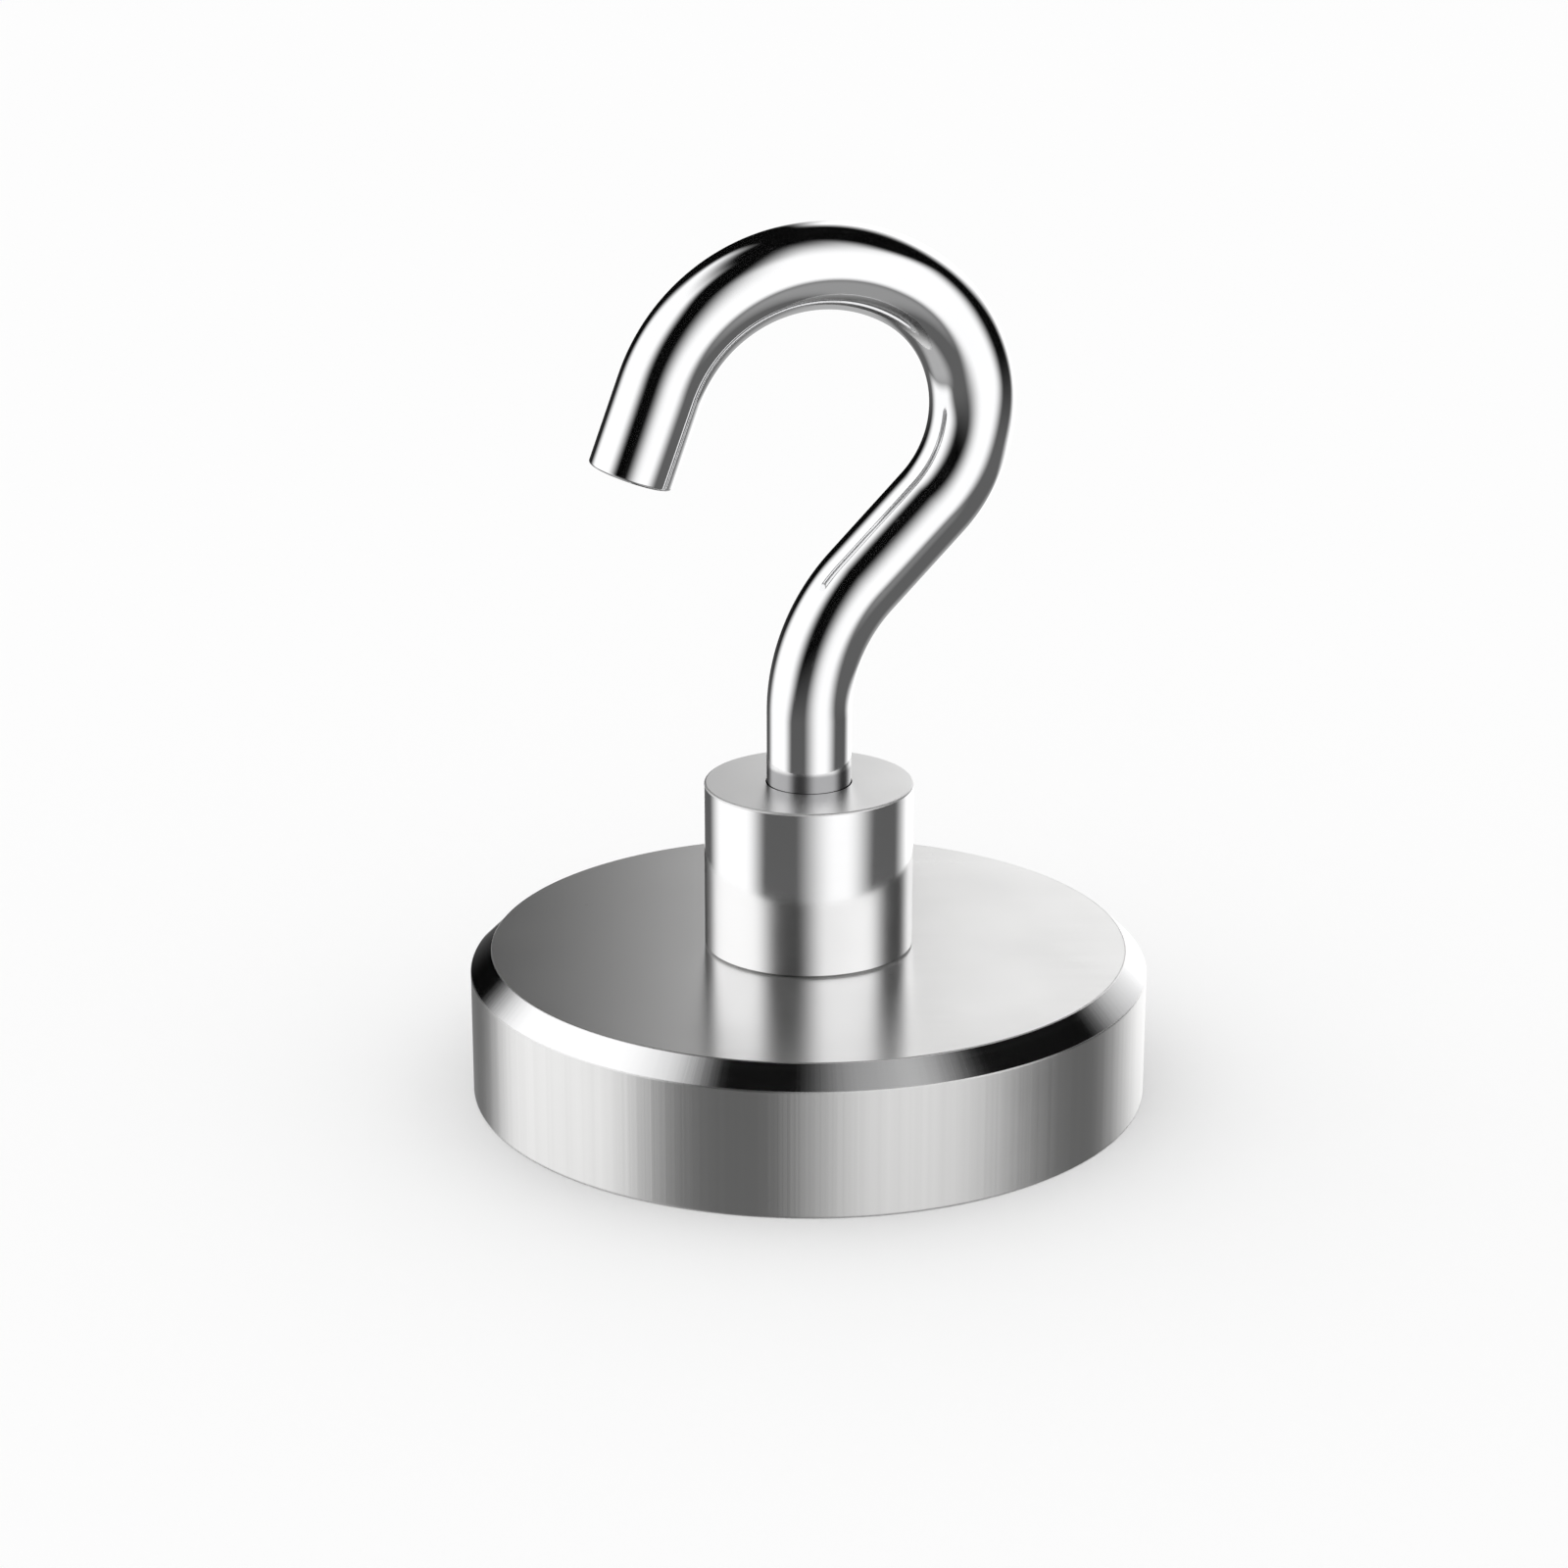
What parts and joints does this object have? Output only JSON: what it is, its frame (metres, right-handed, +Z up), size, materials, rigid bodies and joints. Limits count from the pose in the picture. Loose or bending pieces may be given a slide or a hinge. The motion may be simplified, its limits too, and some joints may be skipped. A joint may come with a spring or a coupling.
{
  "type": "magnetic hook",
  "caption": "Bent wire hook screwed into a turned boss on a round steel pot magnet with a bevelled edge.",
  "frame": {"origin": "middle of the side that clings to steel, on the plane of the cup's rim", "axes": "+Z up the boss and the hook, away from the magnet's face; the hook is bent in the XZ plane and its mouth opens towards -X"},
  "size_m": [0.032, 0.032, 0.0412],
  "materials": {
    "plated_cup": "satin nickel plating, bright bevel",
    "bright_boss": "bright nickel plating, satin top face",
    "polished_rod": "mirror-polished chrome plating",
    "magnet_plating": "dull nickel plating on sintered magnet",
    "spacer": "moulded, matt black",
    "glue": "cured adhesive, amber"
  },
  "bodies": {
    "base": {"magnet_cup": "plated_cup", "spacer_ring": "spacer", "magnet_disc": "magnet_plating", "glue_film": "glue", "threaded_boss": "bright_boss"},
    "hook": {"hook": "polished_rod"}
  },
  "joints": [
    {"name": "hook_turn", "type": "hinge", "parent": "base", "child": "hook", "pos_m": [0, 0, 0.015], "axis": [0, 0, 1], "range_deg": [-180, 180]}
  ]
}
